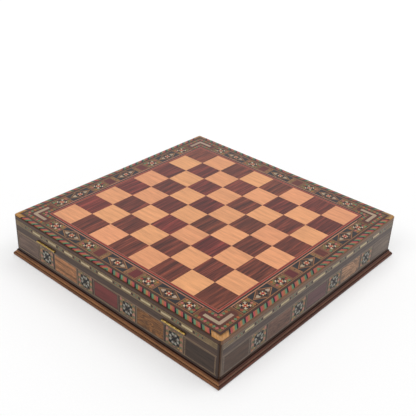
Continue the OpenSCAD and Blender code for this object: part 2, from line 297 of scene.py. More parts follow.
def shades(r, g, b, d=0.24):
    return [C(*(c * k for c in (r, g, b))) for k in (1 - d, 1, 1 + 0.8 * d)]


VARNISH = dict(coat=1.0, coat_rough=0.08)
WALL_COAT = 0.3
M = {}


def inlay(name, r, g, b, d=0.2, **more):
    """A small piece of dyed or plain veneer."""
    look = dict(VARNISH, along=16, across=2.0, spread=0.13, pores=0.08)
    look.update(more)
    M[name] = wood(name + "_inlay", shades(r, g, b, d), **look)


def veneer(name, r, g, b, d=0.26, **more):
    """A broad piece or a long line of veneer."""
    look = dict(VARNISH, along=70, across=5.0)
    look.update(more)
    M[name] = wood(name + "_veneer", shades(r, g, b, d), **look)


# Marquetry: each takes its grain from its own map
veneer("walnut", 64, 34, 22)
veneer("black", 30, 19, 16, pores=0.1)
veneer("line_dark", 52, 30, 22, along=30)
veneer("tan", 140, 94, 58, along=30, spread=0.12, pores=0.15)
veneer("pink", 170, 112, 88, along=30, spread=0.12, pores=0.1)
veneer("brown", 86, 56, 37, along=20, across=2.5)
veneer("redbrown", 82, 32, 23, along=30)
veneer("ground", 104, 60, 30, along=22, across=3, spread=0.18)
veneer("olive_tan", 122, 94, 54, along=12, across=2, spread=0.2)
M["ebony"] = wood("ebony_veneer", [C(22, 18, 20), C(32, 27, 30), C(46, 40, 46)], along=35, across=3, spread=0.15, pores=0.2, **VARNISH)
veneer("padauk", 94, 30, 27, d=0.3, along=30, across=2.6)
inlay("orange", 164, 92, 40)
inlay("rose", 168, 90, 80)
inlay("brick", 146, 56, 40)
inlay("green", 86, 120, 84)
inlay("moss", 92, 98, 50)
inlay("red", 160, 40, 28)
inlay("dark", 46, 26, 18)
inlay("bone", 198, 180, 152, d=0.12, spread=0.08)
inlay("pearl", 168, 146, 122, d=0.14, spread=0.07)
inlay("pearl_tip", 160, 122, 84, d=0.14)
inlay("angle", 166, 142, 118, d=0.13, along=30, across=3, spread=0.06)
inlay("star_black", 22, 18, 19, d=0.3)
inlay("rope_black", 17, 14, 18, d=0.3)
inlay("rope_pink", 160, 70, 64, d=0.16)
inlay("rope_tan", 154, 96, 58, d=0.16)
inlay("rope_green", 80, 116, 84, d=0.16)
veneer("satinwood", 176, 124, 72, d=0.18, along=14, across=2.5, spread=0.1, pores=0.1)
# The walls' own veneers. The sides are a little greyer than the drawer fronts.
inlay("salmon", 162, 112, 94, coat=WALL_COAT)
inlay("wall_moss", 100, 100, 66, coat=WALL_COAT)
inlay("wall_green", 94, 104, 78, coat=WALL_COAT)
inlay("wall_orange", 158, 108, 70, coat=WALL_COAT)
inlay("wall_dark", 48, 36, 30, coat=WALL_COAT)
inlay("lozenge", 118, 96, 68, coat=WALL_COAT)
inlay("star_grey", 146, 142, 132, d=0.14, spread=0.08, coat=WALL_COAT)
inlay("wall_black", 17, 15, 17, d=0.3, coat=WALL_COAT)
inlay("star_drab", 92, 80, 66, coat=WALL_COAT)
inlay("star_green", 46, 54, 40, coat=WALL_COAT)
inlay("dash", 128, 106, 78, d=0.16, along=25, spread=0.08, coat=WALL_COAT)
inlay("dash_mid", 184, 166, 130, d=0.14, along=25, coat=WALL_COAT)
# Painted shade: end_b and burl_b on the drawer fronts, and end_a and burl_a on the sides, have the darker tones. On the
# front and right walls these are the panels nearest their shared corner, where the walls fall darker. This sits on top
# of the panels' own differences in grain.
for tag, rows in (
    ("", dict(
        band=(69, 52, 43), olive=(110, 88, 64), edge_line=(140, 116, 88), line=(112, 90, 70), panel=(72, 54, 45), foot=(50, 34, 26),
        panel_red=(108, 46, 43), burl_a=(151, 102, 65), burl_b=(116, 71, 40), end_a=(98, 76, 65), end_b=(62, 46, 38), panel_mid=(96, 75, 58), post=(62, 48, 40),
    )),
    ("_s", dict(
        band=(75, 61, 54), olive=(112, 96, 78), edge_line=(140, 122, 100), line=(108, 90, 76), panel=(78, 63, 55), foot=(50, 26, 15),
        panel_red=(94, 62, 62), burl_a=(102, 74, 58), burl_b=(137, 100, 76), end_a=(78, 55, 42), end_b=(108, 89, 77), panel_mid=(98, 82, 66), post=(94, 76, 64),
    )),
):
    for key, rgb in rows.items():
        look = dict(d=0.4, along=60, across=3.2, spread=0.08)
        if key in ("olive", "edge_line", "line"):
            look = dict(d=0.34, along=22, across=2.6, spread=0.1, pores=0.2)
        if key == "panel_red":
            look = dict(along=70, across=5, low=0.32, high=0.68, spread=0.06)
        if key.startswith("burl"):
            look = dict(d=0.4, along=50 if key == "burl_b" else 90, across=4.2, low=0.33, high=0.66, figure=0.24 if key == "burl_b" else 0.12, figure_across=11, spread=0.08, fine=0.3)
        veneer(key + tag, *rgb, coat=0.05 if key + tag == "foot_s" else WALL_COAT, **look)

# Solid wood and other pieces of the frame
M["light_sq"] = wood("light_square", shades(224, 154, 107, 0.17), axis="x", cell=(40.0, 40.0, 4000.0), along=45, across=5, fibre=0.9, low=0.25, high=0.75, spread=0.045, warm=0.006, pores=0.12, coat=1.0, coat_rough=0.08, bump=0.1)
M["dark_sq"] = wood("dark_square", [C(62, 20, 14), C(104, 42, 30), C(150, 68, 50)], axis="y", cell=(40.0, 40.0, 4000.0), along=70, across=3.4, fibre=0.6, low=0.38, high=0.64, spread=0.13, warm=0.008, pores=0.4, fine=0.3, coat=1.0, coat_rough=0.07, bump=0.15)


def red_rings():
    """The red line round the squares, a little deeper along its inner half."""
    t = Tree("red_lines")
    o = t.vmaths("SCALE", t.node("TexCoord").outputs["Object"], scale=1000.0)
    sep = t.node("SeparateXYZ", {0: t.vmaths("ABSOLUTE", o)}).outputs
    out = t.maths("MAXIMUM", sep[0], sep[1])
    n = t.noise(t.scaled(o, 1 / 9, 1 / 9, 1), 4.0, 0.6)
    f = t.noise(t.scaled(o, 1 / 0.9, 1 / 0.9, 1), 2.0, 0.6)
    inner = t.ramp(n, [(0.3, C(104, 14, 9)), (0.7, C(134, 24, 14))])
    outer = t.ramp(n, [(0.3, C(136, 24, 12)), (0.7, C(166, 38, 20))])
    colour = t.mix(t.maths("GREATER_THAN", out, F + 2.05), inner, outer)
    t.bump(f, 0.1, 0.05)
    return t.set(base=colour, rough=t.remap(f, 0.3, 0.7, 0.36, 0.46), coat=1.0, coat_rough=0.08, coat_ior=1.4, spec=0.08)


def brass(name="polished_brass"):
    t = Tree(name)
    o = t.vmaths("SCALE", t.node("TexCoord").outputs["Object"], scale=1000.0)
    soft = t.noise(t.scaled(o, 0.25, 0.25, 0.25), 3.0)
    lines = t.noise(t.scaled(o, 0.6, 9.0, 9.0), 2.0, 0.7)
    colour = t.ramp(soft, [(0.3, C(212, 170, 92)), (0.7, C(230, 198, 122))])
    # Painted shade: below about z 49.3 to 50 mm the barrels are painted dark and not metallic, standing in for the
    # shadow under the bar.
    z = t.node("SeparateXYZ", {0: o}).outputs[2]
    painted_shade_colour = t.ramp(soft, [(0.3, C(44, 27, 15)), (0.7, C(66, 42, 22))])
    unshaded_part = t.remap(z, 49.3, 50.0, smooth=True)
    colour = t.mix(unshaded_part, painted_shade_colour, colour)
    t.bump(lines, 0.06, 0.02)
    return t.set(base=colour, metal=unshaded_part, rough=t.remap(lines, 0.3, 0.7, 0.24, 0.36))


def steel():
    t = Tree("screw_steel_metal")
    o = t.vmaths("SCALE", t.node("TexCoord").outputs["Object"], scale=1000.0)
    soft = t.noise(t.scaled(o, 0.8, 0.8, 0.8), 3.0)
    colour = t.ramp(soft, [(0.3, C(150, 148, 142)), (0.7, C(186, 184, 178))])
    t.bump(soft, 0.1, 0.02)
    return t.set(base=colour, metal=1.0, rough=t.remap(soft, 0.3, 0.7, 0.28, 0.4))


def felt(name, dark, light):
    t = Tree(name)
    o = t.vmaths("SCALE", t.node("TexCoord").outputs["Object"], scale=1000.0)
    fibres = t.noise(t.scaled(o, 1.6, 1.6, 1.6), 4.0, 0.75, distortion=1.4)
    cloud = t.noise(t.scaled(o, 0.06, 0.06, 0.06), 3.0)
    x = t.maths("ADD", t.maths("MULTIPLY", fibres, 0.75), t.maths("MULTIPLY", cloud, 0.25))
    colour = t.ramp(x, [(0.32, dark), (0.68, light)])
    t.bump(fibres, 0.6, 0.25)
    return t.set(base=colour, rough=t.remap(fibres, 0.3, 0.7, 0.98, 0.86), spec=0.1, sheen=0.5, sheen_rough=0.4)


def plywood(name, faces, layer=0.7):
    """Plywood panel: a plain face veneer, and thin plies that show on its edges."""
    t = Tree(name)
    v, _, _ = grain_vector(t, "x")
    broad = t.noise(t.scaled(v, 1 / 120, 1 / 9, 1 / 9), 4.0, 0.6, distortion=0.4)
    thin = t.noise(t.scaled(v, 1 / 22, 1 / 0.7, 1 / 0.7), 3.0)
    x = t.maths("ADD", t.maths("MULTIPLY", broad, 0.65), t.maths("MULTIPLY", thin, 0.35))
    colour = t.ramp(t.remap(x, 0.3, 0.7), [(0.0, faces[0]), (1.0, faces[1])])
    z = t.node("SeparateXYZ", {0: v}).outputs[2]
    ply = t.maths("FRACT", t.maths("DIVIDE", z, layer * 2))
    ply = t.maths("GREATER_THAN", ply, 0.5)
    normal = t.node("SeparateXYZ", {0: t.node("NewGeometry").outputs["True Normal"]}).outputs[2]
    edge = t.maths("LESS_THAN", t.maths("ABSOLUTE", normal), 0.5)
    darker = tuple(c * 0.55 for c in faces[0][:3]) + (1.0,)
    colour = t.mix(t.maths("MULTIPLY", t.maths("MULTIPLY", edge, ply), 0.7), colour, darker)
    t.bump(thin, 0.2, 0.06)
    return t.set(base=colour, rough=t.remap(thin, 0.3, 0.7, 0.6, 0.5), spec=0.3)


M["red_rings"] = red_rings()
M["light_ring"] = wood("light_line", shades(150, 97, 77, 0.16), axis="ring", along=40, across=3, pores=0.05, **VARNISH)
M["lipping"] = wood("lipping_walnut", shades(70, 46, 32), axis="ring", along=80, across=3, side_tones=shades(114, 80, 56), coat=0.42, coat_rough=0.09)
M["moulding"] = wood("moulding_walnut_solid", shades(112, 72, 45, 0.4), along=60, across=3.4, low=0.32, high=0.68, coat=0.35, coat_rough=0.1, spread=0.05)
M["moulding_side"] = wood("moulding_walnut_dark", shades(86, 50, 38, 0.4), along=60, across=3.4, low=0.32, high=0.68, coat=0.2, coat_rough=0.1, spread=0.05)
# Painted highlight: the lip copies are the moulding wood made lighter, for the bright line the lip catches from above.
M["moulding_lip"] = wood("moulding_walnut_painted_highlight", shades(150, 106, 70, 0.24), along=60, across=3, coat=0.35, coat_rough=0.1, spread=0.05)
M["moulding_side_lip"] = wood("moulding_walnut_painted_highlight_dark", shades(108, 74, 56, 0.24), along=60, across=3, coat=0.3, coat_rough=0.1, spread=0.05)
# Painted shade: the edge copy is the moulding wood made dark, for the groove, the cove's top and the bottom edge.
M["moulding_painted_shade"] = wood("moulding_walnut_painted_shade", shades(50, 28, 18, 0.3), along=60, across=3, coat=0.1, coat_rough=0.2, spread=0.05)
M["wall_side"] = wood("wall_board", [C(70, 46, 32), C(98, 68, 48), C(122, 90, 66)], axis="y", along=120, across=8, coat=0.15, rough=0.5)
M["wall_front"] = wood("front_board", [C(70, 46, 32), C(98, 68, 48), C(122, 90, 66)], axis="x", along=120, across=8, coat=0.15, rough=0.5)
M["core"] = plywood("core_plywood", [C(176, 140, 98), C(206, 174, 130)])
M["ply"] = plywood("birch_plywood", [C(188, 152, 108), C(220, 190, 146)])
M["beech_y"] = wood("beech_long", [C(186, 138, 96), C(208, 164, 120), C(224, 184, 140)], axis="y", along=90, across=7, fibre=0.8, pores=0.22, pore_size=0.5, coat=0.25, coat_rough=0.3, rough=0.45)
M["beech_x"] = wood("beech_cross", [C(186, 138, 96), C(208, 164, 120), C(224, 184, 140)], axis="x", along=90, across=7, fibre=0.8, pores=0.22, pore_size=0.5, coat=0.25, coat_rough=0.3, rough=0.45)
M["divider_x"] = wood("divider_walnut_x", [C(58, 36, 25), C(84, 56, 40), C(108, 78, 56)], axis="x", along=90, across=6, coat=0.3, coat_rough=0.25, rough=0.45)
M["divider_y"] = wood("divider_walnut_y", [C(58, 36, 25), C(84, 56, 40), C(108, 78, 56)], axis="y", along=90, across=6, coat=0.3, coat_rough=0.25, rough=0.45)
M["felt_green"] = felt("drawer_felt_cloth", C(12, 52, 30), C(30, 84, 52))
M["felt_black"] = felt("foot_felt_cloth", C(16, 22, 18), C(38, 48, 40))
M["brass"] = brass()
M["steel"] = steel()

# ------------------------------------------------------------------ meshes


def side_matrix(k):
    return Matrix.Rotation(math.pi / 2 * k, 3, "Z")


class Mesh:
    """Collects faces with materials, a grain map, a tile map and corner normals, and makes one object of them."""

    def __init__(self):
        self.co, self.faces, self.mat, self.grain, self.tile, self.normals = (
            [], [], [], [], [], []
        )
        self.slots = []

    def slot(self, m):
        if m not in self.slots:
            self.slots.append(m)
        return self.slots.index(m)

    def face(self, corners, material, normals=None, grain=None, tile=(0.5, 0.5)):
        """corners are indices of self.co, counter-clockwise seen from outside."""
        self.faces.append(corners)
        self.mat.append(self.slot(material))
        self.normals.append(normals)
        self.grain.append(grain)
        self.tile.append(tile)

    def add(self, points):
        base = len(self.co)
        self.co.extend(Vector(p) for p in points)
        return base

    def build(self, name, body, replaces=(), slot=None):
        me = bpy.data.meshes.new(name)
        me.from_pydata([tuple(p * MM) for p in self.co], [], self.faces)
        for m in self.slots:
            me.materials.append(M[m])
        me.polygons.foreach_set("material_index", self.mat)
        grain = me.uv_layers.new(name="grain")
        tile = me.uv_layers.new(name="tile")
        g, tl, nm = [], [], []
        for i, f in enumerate(self.faces):
            face_normal = me.polygons[i].normal.copy()
            for j, c in enumerate(f):
                own = self.grain[i]
                if own is None:
                    p = self.co[c]
                    a = (p.x + p.y, p.z) if abs(face_normal.z) < 0.7 else (p.x, p.y)
                else:
                    a = own[j]
                g.extend(a)
                tl.extend(self.tile[i])
                n = self.normals[i]
                nm.append(tuple(n[j]) if n is not None else tuple(face_normal))
        grain.data.foreach_set("uv", g)
        tile.data.foreach_set("uv", tl)
        me.shade_smooth()
        me.normals_split_custom_set(nm)
        me.update()
        ob = bpy.data.objects.new(name, me)
        bpy.context.scene.collection.objects.link(ob)
        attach(ob, body)
        if replaces:
            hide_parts(*replaces)
        return ob


# ------------------------------------------------------------------ flat artwork


def clip(poly, axis, value, keep_above):
    """The part of a polygon on one side of a line parallel to an axis."""
    out = []
    for i, p in enumerate(poly):
        q = poly[(i + 1) % len(poly)]
        a, b = p[axis] - value, q[axis] - value
        if not keep_above:
            a, b = -a, -b
        if a >= 0:
            out.append(p)
        if (a > 0 > b) or (a < 0 < b):
            f = a / (a - b)
            out.append(tuple(p[k] + (q[k] - p[k]) * f for k in (0, 1)))
    return out


def keep(poly, a, b):
    """The part of a polygon where a*s + b*t is not below 0."""
    out = []
    for i, p in enumerate(poly):
        q = poly[(i + 1) % len(poly)]
        d, e = a * p[0] + b * p[1], a * q[0] + b * q[1]
        if d >= 0:
            out.append(p)
        if (d > 1e-9 and e < -1e-9) or (d < -1e-9 and e > 1e-9):
            f = d / (d - e)
            out.append(tuple(p[k] + (q[k] - p[k]) * f for k in (0, 1)))
    return out


def clip_box(poly, s0, s1, t0, t1):
    for axis, value, above in ((0, s0, True), (0, s1, False), (1, t0, True), (1, t1, False)):
        poly = clip(poly, axis, value, above)
        if len(poly) < 3:
            return []
    return poly


class Art:
    """Flat marquetry: shapes laid over each other, later ones on top, then cut into pieces that meet edge to edge."""

    def __init__(self):
        self.shapes = []
        self.edges = []

    def add(self, poly, mat, piece, angle=0.0):
        if len(poly) < 3:
            return
        area = sum(
            p[0] * q[1] - q[0] * p[1] for p, q in zip(poly, poly[1:] + poly[:1])
        )
        if abs(area) < 1e-4:
            return
        if area < 0:
            poly = poly[::-1]
        self.shapes.append(
            {
                "poly": poly,
                "mat": mat,
                "piece": piece,
                "angle": angle,
                "off": (RNG.uniform(0, 900), RNG.uniform(0, 900)),
                "tint": (RNG.random(), RNG.random()),
            }
        )

    def rect(self, s0, s1, t0, t1, mat, piece, angle=0.0):
        self.add([(s0, t0), (s1, t0), (s1, t1), (s0, t1)], mat, piece, angle)

    def ngon(self, s, t, r, n, mat, piece, turn=0.0, squash=1.0, angle=0.0):
        pts = [
            (
                s + r * math.cos(2 * math.pi * i / n + turn),
                t + r * squash * math.sin(2 * math.pi * i / n + turn),
            )
            for i in range(n)
        ]
        self.add(pts, mat, piece, angle)

    def cut(self):
        co, faces, edges = [], [], []
        for sh in self.shapes:
            b = len(co)
            co.extend(Vector(p) for p in sh["poly"])
            faces.append(list(range(b, b + len(sh["poly"]))))
        for a, c in self.edges:
            b = len(co)
            co.extend((Vector(a), Vector(c)))
            edges.append((b, b + 1))
        verts, _, tris, _, _, owners = delaunay_2d_cdt(co, edges, faces, 1, 1e-5, True)
        kept = []
        for tri, own in zip(tris, owners):
            if not own:
                continue
            top = max(own)
            if self.shapes[top]["mat"] is None:
                continue
            a, b, c = (verts[i] for i in tri)
            if abs((b - a).cross(c - a)) < 1e-7:
                continue
            kept.append((tri, top))
        return verts, kept


def slabs(art, place, turns, names, body, flip, replaces, slots):
    """Makes one object for each of the art's pieces: a closed slab under each of its shapes, once for each turn.
    place(s, t) gives the outer point, the inner point and the outer normal, on the front side."""
    verts, kept = art.cut()
    placed = [place(v[0], v[1]) for v in verts]
    made = {}
    for piece, name in names.items():
        mine = [(tri, top) for tri, top in kept if art.shapes[top]["piece"] == piece]
        if not mine:
            continue
        mesh = Mesh()
        for k in turns:
            rot = side_matrix(k)
            index = {}
            for tri, _ in mine:
                for i in tri:
                    if i not in index:
                        out, inn, nor = placed[i]
                        b = mesh.add((rot @ Vector(out), rot @ Vector(inn)))
                        index[i] = (b, b + 1, rot @ Vector(nor))
            count = {}
            for tri, _ in mine:
                for a, b in ((0, 1), (1, 2), (2, 0)):
                    e = frozenset((tri[a], tri[b]))
                    count[e] = count.get(e, 0) + 1
            for tri, top in mine:
                sh = art.shapes[top]
                ca, sa = math.cos(math.radians(sh["angle"])), math.sin(math.radians(sh["angle"]))
                # Each turn gives a tile its own stretch of grain
                ox, oy = sh["off"][0] + 211 * k, sh["off"][1] + 97 * k
                tint = ((sh["tint"][0] + 0.37 * k) % 1.0, (sh["tint"][1] + 0.61 * k) % 1.0)

                def uv(i):
                    x, y = verts[i][0], verts[i][1]
                    return (x * ca + y * sa + ox, -x * sa + y * ca + oy)

                order = list(tri)[::-1] if flip else list(tri)
                mesh.face(
                    [index[i][0] for i in order],
                    sh["mat"],
                    [index[i][2] for i in order],
                    [uv(i) for i in order],
                    tint,
                )
                mesh.face(
                    [index[i][1] for i in order[::-1]],
                    sh["mat"],
                    None,
                    [uv(i) for i in order[::-1]],
                    tint,
                )
                for a, b in ((0, 1), (1, 2), (2, 0)):
                    i, j = order[a], order[b]
                    if count[frozenset((i, j))] == 1:
                        mesh.face(
                            [index[j][0], index[i][0], index[i][1], index[j][1]],
                            sh["mat"],
                            None,
                            [uv(j), uv(i), uv(i), uv(j)],
                            tint,
                        )
        made[piece] = mesh.build(name, body, replaces.get(piece, ()), slots.get(piece))
    return made


def star(art, piece, s, t, r, middle, first, second, third):
    """Eight-fold star of small rhombi round a middle piece, as in traditional marquetry. It is the same when
    mirrored. first and third are the woods on the axes and on the diagonals, second is the ring between them."""

    def p(q, a):
        a = math.radians(a)
        return (s + r * q * math.cos(a), t + r * q * math.sin(a))

    q0, q1, q2, q3, q4 = 0.2, 0.44, 0.68, 0.88, 1.05
    for k in range(8):
        if third[k % 2]:
            a = 45 * k
            art.add([p(q2, a), p(q3, a + 22.5), p(q4, a), p(q3, a - 22.5)], third[k % 2], piece, a)
    for k in range(8):
        a = 45 * k + 22.5
        art.add([p(q1, a), p(q2, a + 22.5), p(q3, a), p(q2, a - 22.5)], second, piece, a)
    art.add([p(q1, 45 * k + 22.5) for k in range(8)], middle, piece)
    for k in range(8):
        a = 45 * k
        art.add([p(q0, a), p(q1, a + 22.5), p(q2, a), p(q1, a - 22.5)], first[k % 2], piece, a)
    art.add([p(q0, 45 * k) for k in range(8)], middle, piece)


def lozenge(art, piece, s, t, hs, ht, mat, core=None):
    art.add([(s - hs, t), (s, t - ht), (s + hs, t), (s, t + ht)], mat, piece, 45)
    if core:
        art.add([(s - hs * 0.45, t), (s, t - ht * 0.45), (s + hs * 0.45, t), (s, t + ht * 0.45)], core, piece, 45)


def column(art, piece, s, half, t0, t1, woods, gaps):
    """Lozenges one above another, with half lozenges in the gaps at both sides. woods start at t1."""
    h = (t1 - t0) / len(woods) / 2
    for j, w in enumerate(woods):
        mat, core = w if isinstance(w, tuple) else (w, None)
        lozenge(art, piece, s, t1 - h - 2 * h * j, half, h, mat, core)
    for j in range(len(woods) + 1):
        t = t1 - 2 * h * j
        for x in (-1, 1):
            poly = clip_box([(s + x * half, t - h), (s + x * half, t + h), (s, t)], s - half - 1, s + half + 1, t0, t1)
            art.add(poly, gaps[j % len(gaps)], piece, 45)


# ------------------------------------------------------------------ the border of the board

GRD = "ground"


def border_art():
    art = Art()
    r0, r1 = 169.0, 187.4

    def put(poly, mat, piece=GRD, angle=0.0):
        """Adds a shape, cut off along the mitres at the corners."""
        art.add(keep(keep(poly, -1, 1), 1, 1), mat, piece, angle)

    def band(a, b, mat):
        art.add([(-a, a), (a, a), (b, b), (-b, b)], mat, GRD)

    for a, b, m in (
        (164.3, 166.7, "black"),
        (166.7, 168.3, "pink"),
        (168.3, r0, "line_dark"),
        (r0, r1, "ground"),
        (r1, 188.1, "line_dark"),
        (188.1, 189.5, "tan"),
        (189.5, 193.1, "walnut"),
    ):
        band(a, b, m)
    # Black panels, each with a long diamond in it
    for c in (-95.0, 0.0, 95.0):
        art.rect(c - 21.4, c + 21.4, r0, r1, "tan", GRD, 90)
        for x in (-1, 1):
            for t0, t1 in ((r0, MID), (MID, r1)):
                art.rect(min(c, c + 20.5 * x), max(c, c + 20.5 * x), t0, t1, "ebony", "black", 90)
        a, b = 20.4, 11.7
        long = math.hypot(a, b)
        for d, m in ((0.0, "line_dark"), (0.35, "tan"), (1.65, "dark"), (2.15, "brown")):
            aa, bb = a - d * long / b, b - d * long / a
            art.add(clip_box([(c - aa, MID), (c, MID - bb), (c + aa, MID), (c, MID + bb)], c - 21, c + 21, r0, r1), m, "diamond")
        for x in (-1, 1):
            art.add([(c + x * 7.2, MID - 2.2), (c + x * 8.8, MID - 3.0), (c + x * 12.6, MID - 1.4), (c + x * 12.6, MID + 1.4), (c + x * 8.8, MID + 3.0), (c + x * 7.2, MID + 2.2)], "pearl", "diamond")
            art.add([(c + x * 12.6, MID - 1.4), (c + x * 15.6, MID), (c + x * 12.6, MID + 1.4)], "pearl_tip", "diamond")
        star(art, "diamond", c, MID, 7.4, "red", ("orange", "bone"), "star_black", ("star_black", None))
    for x in (-1, 1):

        def box(s0, s1, t0, t1, mat, piece=GRD, angle=0.0):
            art.rect(min(x * s0, x * s1), max(x * s0, x * s1), t0, t1, mat, piece, angle)

        # Tan band with faint lozenges beside the middle panel, then the red panel in its frame
        box(20.5, 27.5, r0, r1, "tan", angle=90)
        for j in range(4):
            t = r0 + (r1 - r0) * (j + 0.5) / 4
            lozenge(art, GRD, x * 23.9, t, 2.3, 2.2, "olive_tan", "dark" if j % 2 else "orange")
        box(26.6, 27.1, r0, r1, "line_dark", angle=90)
        box(27.1, 42.6, r0, r1, "tan", angle=90)
        box(28.0, 41.6, 169.9, 186.5, "padauk", "red", 90)
        box(42.6, 43.6, r0, r1, "line_dark", angle=90)
        box(43.6, 46.1, r0, r1, "tan", angle=90)
        box(44.6, 45.2, r0, r1, "line_dark", angle=90)
        # Star panels
        near = ["green", "brick", "moss", ("tan", "dark")]
        far = [("orange", "tan"), "rose", ("moss", "orange"), "orange"]
        for c, flip_cols in ((58.4, False), (129.8, True)):
            box(c - 12.3, c + 12.3, r0, r1, "ground")
            for e in (-1, 1):
                woods = near if (e < 0) != flip_cols else far
                column(art, GRD, x * (c + e * 10.0), 2.3, r0, r1, woods, ["dark", "olive_tan", "redbrown", "olive_tan", "dark"])
            tile = "rosette"
            art.rect(x * c - 7.7, x * c + 7.7, r0 + 0.4, r1 - 0.4, "ground", tile, 90)
            for p in (-1, 1):
                for q in (-1, 1):
                    cx, cy = x * c + p * 7.7, MID + q * 8.75
                    art.add([(cx, cy), (cx - p * 4.6, cy), (cx, cy - q * 4.6)], "moss", tile, 45)
                    art.add([(cx - p * 0.5, cy - q * 0.5), (cx - p * 2.9, cy - q * 0.5), (cx - p * 0.5, cy - q * 2.9)], "tan", tile, 45)
                lozenge(art, tile, x * c, MID + p * 8.2, 1.5, 0.6, "brick")
            star(art, tile, x * c, MID, 7.5, "red", ("orange", "bone"), "star_black", ("star_black", "bone"))
        box(70.7, 73.6, r0, r1, "tan", angle=90)
        box(71.6, 72.2, r0, r1, "line_dark", angle=90)
        box(73.0, 73.6, r0, r1, "line_dark", angle=90)
        box(116.4, 117.5, r0, r1, "tan", angle=90)
        box(117.0, 117.5, r0, r1, "line_dark", angle=90)
        box(142.1, 143.6, r0, r1, "line_dark", angle=90)
        box(143.6, 144.5, r0, r1, "tan", angle=90)
        # Corner block, half of it on this side: strips of lozenges, a red-brown ground and the bone angle
        put([(x * 144.5, 167.1), (x * 167.1, 167.1), (x * 188.9, 188.9), (x * 144.5, 188.9)], "ground")
        woods = ["moss", "rose", "green", "orange"]
        for t, h in ((186.55, 2.3), (169.5, 2.3)):
            i = 0
            while t - 4.7 * i > 146.0:
                s = x * (t - 4.7 * i)
                put([(s - 2.35, t), (s, t - h), (s + 2.35, t), (s, t + h)], woods[i % 4], angle=45)
                for e in (-1, 1):
                    sj = s - x * 2.35
                    put([(sj - 0.9, t + e * h), (sj, t + e * (h - 0.9)), (sj + 0.9, t + e * h)], "dark")
                i += 1
        put([(x * 149.6, 172.1), (x * 172.1, 172.1), (x * 184.1, 184.1), (x * 149.6, 184.1), (x * 147.6, 178.1)], "redbrown")
        put([(x * 153.7, 175.75), (x * 175.75, 175.75), (x * 179.85, 179.85), (x * 178.95, 180.75), (x * 153.7, 180.75)], "angle", "corner")
    return art


def on_top(s, r):
    return (s, -r, TOP), (s, -r, TOP - V), (0, 0, 1)


slabs(
    border_art(),
    on_top,
    range(4),
    {
        GRD: "border_marquetry",
        "black": "black_panels",
        "diamond": "diamond_inlays",
        "red": "red_panels",
        "rosette": "border_stars",
        "corner": "corner_angles",
    },
    "case",
    True,
    {
        GRD: ["border_ground"],
        "black": ["border_black_panels"],
        "diamond": ["border_diamonds"],
        "red": ["border_red_panels"],
        "rosette": ["border_rosettes"],
        "corner": ["corner_inlays"],
    },
    {
        GRD: "mosaic_ground",
        "black": "black_veneer",
        "diamond": "diamond_veneer",
        "red": "red_veneer",
        "rosette": "star_mosaic",
        "corner": "bone_inlay",
    },
)

# ------------------------------------------------------------------ rope banding and corner chips

ROPE_IN = 193.1  # where the rope starts, from the middle
FLAT_U = B - EDGE_R - ROPE_IN
END_A = math.asin((B - 1.1 - (B - EDGE_R)) / EDGE_R)
U_MAX = FLAT_U + EDGE_R * END_A
END_S = 178.6  # where the rope's inner edge meets the corner chip


def rope_art():
    """Slanting bars on the flat top (u up to FLAT_U) and on round the edge."""
    art = Art()
    u = U_MAX
    reach = B - 1.1 - ROPE_IN

    def slant(q):
        """How far along the side a 45 degree line has gone at q, where q bends round the edge."""
        return q if q <= FLAT_U else FLAT_U + EDGE_R * math.sin((q - FLAT_U) / EDGE_R)

    steps = [0.0] + [FLAT_U + (u - FLAT_U) * i / 5 for i in range(6)]
    bars = (("rope_black", 3.0), ("rope_pink", 3.7), ("rope_tan", 3.7), ("rope_green", 3.75))
    for x in (-1, 1):
        s = END_S
        while s > -reach:
            for mat, w in bars:
                for q0, q1 in zip(steps, steps[1:]):
                    poly = [(s - w + slant(q0), q0), (s + slant(q0), q0), (s + slant(q1), q1), (s - w + slant(q1), q1)]
                    poly = clip(poly, 0, 0.0, True)
                    if len(poly) > 2:
                        art.add([(x * p[0], p[1]) for p in poly], mat, "rope", 45 * x)
                        art.shapes[-1]["off"] = (131 * x + s * 7, s * 3)
                        art.shapes[-1]["tint"] = ((s * 0.37) % 1.0, (s * 0.71) % 1.0)
                s -= w
    return art


def on_rope(s, u):
    if u <= FLAT_U:
        r = ROPE_IN + u
        return (s, -r, TOP), (s, -r, TOP - ROPE_T), (0, 0, 1)
    a = (u - FLAT_U) / EDGE_R
    r = B - EDGE_R + EDGE_R * math.sin(a)
    return (
        (s, -r, TOP - EDGE_R + EDGE_R * math.cos(a)),
        (s, -r, TOP - ROPE_T),
        (0, -math.sin(a), math.cos(a)),
    )


slabs(rope_art(), on_rope, range(4), {"rope": "rope_bands"}, "case", True, {"rope": ["rope_banding"]}, {"rope": "rope_inlay"})


ARC = 4.5  # radius of the upright corners
CHIP_A = math.acos((EDGE_R - ROPE_T) / EDGE_R)


